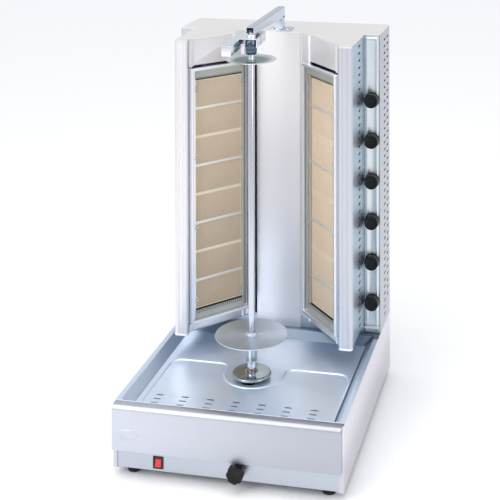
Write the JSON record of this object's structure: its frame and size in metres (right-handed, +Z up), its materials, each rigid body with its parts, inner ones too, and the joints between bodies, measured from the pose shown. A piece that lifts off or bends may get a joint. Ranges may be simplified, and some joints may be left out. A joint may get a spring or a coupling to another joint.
{
  "type": "vertical rotisserie broiler",
  "caption": "Upright gas gyros grill: two folded wings of ceramic burners round a bottom-driven spit with meat discs, over a shallow drip tray and fat drawer.",
  "frame": {"origin": "middle of the overall width and depth, on the bench the feet rest on", "axes": "+Z up along the spit, +Y to the rear, +X to the gas knob side"},
  "size_m": [0.58, 0.7106, 1.08],
  "materials": {
    "steel": "satin brushed stainless sheet",
    "warm_steel": "fine satin stainless",
    "tray_steel": "bright polished stainless, blue reflections",
    "spit_steel": "satin, turned discs",
    "post_aluminium": "bright anodised extrusion",
    "chrome": "polished",
    "cast_housing": "grey, slightly rough",
    "brass": "machined",
    "burner_tile": "matt perforated ceramic",
    "black_plastic": "semi-gloss moulded",
    "red_rocker": "glossy translucent red",
    "rubber": "matt"
  },
  "bodies": {
    "frame": {"base_side_right": "steel", "base_side_left": "steel", "base_rear_panel": "steel", "base_bottom_plate": "steel", "control_panel": "steel", "drawer_runner_right": "steel", "drawer_runner_left": "steel", "carriage_rails": "steel", "column_side_right": "steel", "column_side_left": "steel", "column_rear_panel": "steel", "column_floor": "steel", "column_front_left": "steel", "knob_strip": "steel", "back_plate": "steel", "wing_side_right": "steel", "wing_side_left": "steel", "wing_fascia_right": "steel", "wing_fascia_left": "steel", "foot_front_right": "rubber", "foot_rear_right": "rubber", "foot_front_left": "rubber", "foot_rear_left": "rubber", "switch_bezel": "black_plastic", "cable_gland": "black_plastic", "tray_pan": "tray_steel", "tray_floor": "tray_steel", "top_arm": "warm_steel", "top_plate": "warm_steel", "post_right": "post_aluminium", "post_left": "post_aluminium", "gas_manifold": "brass", "gas_inlet": "brass"},
    "drawer": {"fat_drawer": "steel"},
    "spit_carriage": {"carriage": "steel", "gear_motor": "cast_housing"},
    "lock_screw": {"lock_rod": "steel", "lock_knob": "black_plastic"},
    "drive": {"drive_shaft": "chrome", "hub_disc": "chrome"},
    "spit": {"spit_shaft": "spit_steel", "spit_sleeve": "spit_steel", "lower_disc": "spit_steel", "upper_disc": "spit_steel"},
    "steady": {"clamp_head": "warm_steel", "top_bearing": "chrome"},
    "steady_bolt": {"clamp_bolt": "chrome"},
    "rocker": {"switch_rocker": "red_rocker"},
    "burner_right": {"burner_frame_right": "steel", "burner_plenum_right": "cast_housing", "tile_pack_right": "burner_tile"},
    "burner_left": {"burner_frame_left": "steel", "burner_plenum_left": "cast_housing", "tile_pack_left": "burner_tile"},
    "knob_1": {"gas_knob_1": "black_plastic"},
    "knob_2": {"gas_knob_2": "black_plastic"},
    "knob_3": {"gas_knob_3": "black_plastic"},
    "knob_4": {"gas_knob_4": "black_plastic"},
    "knob_5": {"gas_knob_5": "black_plastic"},
    "knob_6": {"gas_knob_6": "black_plastic"}
  },
  "joints": [
    {"name": "drawer_slide", "type": "slide", "parent": "frame", "child": "drawer", "axis": [0, -1, 0], "range_m": [0, 0.13]},
    {"name": "carriage_slide", "type": "slide", "parent": "frame", "child": "spit_carriage", "axis": [0, 1, 0], "range_m": [-0.015, 0.009]},
    {"name": "steady_slide", "type": "slide", "parent": "frame", "child": "steady", "axis": [0, 1, 0], "range_m": [-0.015, 0.009]},
    {"name": "lock_screw_turn", "type": "hinge", "parent": "spit_carriage", "child": "lock_screw", "pos_m": [0.029, -0.32475, 0.048], "axis": [0, -1, 0], "range_deg": [-180, 180]},
    {"name": "steady_bolt_turn", "type": "hinge", "parent": "steady", "child": "steady_bolt", "pos_m": [0, -0.10175, 1.06], "axis": [0, 0, 1], "range_deg": [-180, 180]},
    {"name": "spit_turn", "type": "hinge", "parent": "spit_carriage", "child": "drive", "pos_m": [0, -0.10175, 0.18], "axis": [0, 0, 1], "continuous": true},
    {"name": "spit_lift", "type": "slide", "parent": "drive", "child": "spit", "axis": [0, 0, 1], "range_m": [0, 0.012]},
    {"name": "rocker_tilt", "type": "hinge", "parent": "frame", "child": "rocker", "pos_m": [-0.1735, -0.32075, 0.042], "axis": [1, 0, 0], "range_deg": [0, 12]},
    {"name": "burner_right_swing", "type": "hinge", "parent": "frame", "child": "burner_right", "pos_m": [0.09786, 0.14995, 0.586], "axis": [0, 0, -1], "range_deg": [0, 12]},
    {"name": "burner_left_swing", "type": "hinge", "parent": "frame", "child": "burner_left", "pos_m": [-0.09786, 0.14995, 0.586], "axis": [0, 0, 1], "range_deg": [0, 12]},
    {"name": "gas_knob_1_turn", "type": "hinge", "parent": "frame", "child": "knob_1", "pos_m": [0.2692, 0.16525, 0.272], "axis": [0, -1, 0], "range_deg": [0, 180]},
    {"name": "gas_knob_2_turn", "type": "hinge", "parent": "frame", "child": "knob_2", "pos_m": [0.2692, 0.16525, 0.3842], "axis": [0, -1, 0], "range_deg": [0, 180]},
    {"name": "gas_knob_3_turn", "type": "hinge", "parent": "frame", "child": "knob_3", "pos_m": [0.2692, 0.16525, 0.4964], "axis": [0, -1, 0], "range_deg": [0, 180]},
    {"name": "gas_knob_4_turn", "type": "hinge", "parent": "frame", "child": "knob_4", "pos_m": [0.2692, 0.16525, 0.6086], "axis": [0, -1, 0], "range_deg": [0, 180]},
    {"name": "gas_knob_5_turn", "type": "hinge", "parent": "frame", "child": "knob_5", "pos_m": [0.2692, 0.16525, 0.7208], "axis": [0, -1, 0], "range_deg": [0, 180]},
    {"name": "gas_knob_6_turn", "type": "hinge", "parent": "frame", "child": "knob_6", "pos_m": [0.2692, 0.16525, 0.833], "axis": [0, -1, 0], "range_deg": [0, 180]}
  ],
  "couplings": [
    {"joint": "steady_slide", "follows": "carriage_slide", "ratio": 1}
  ]
}
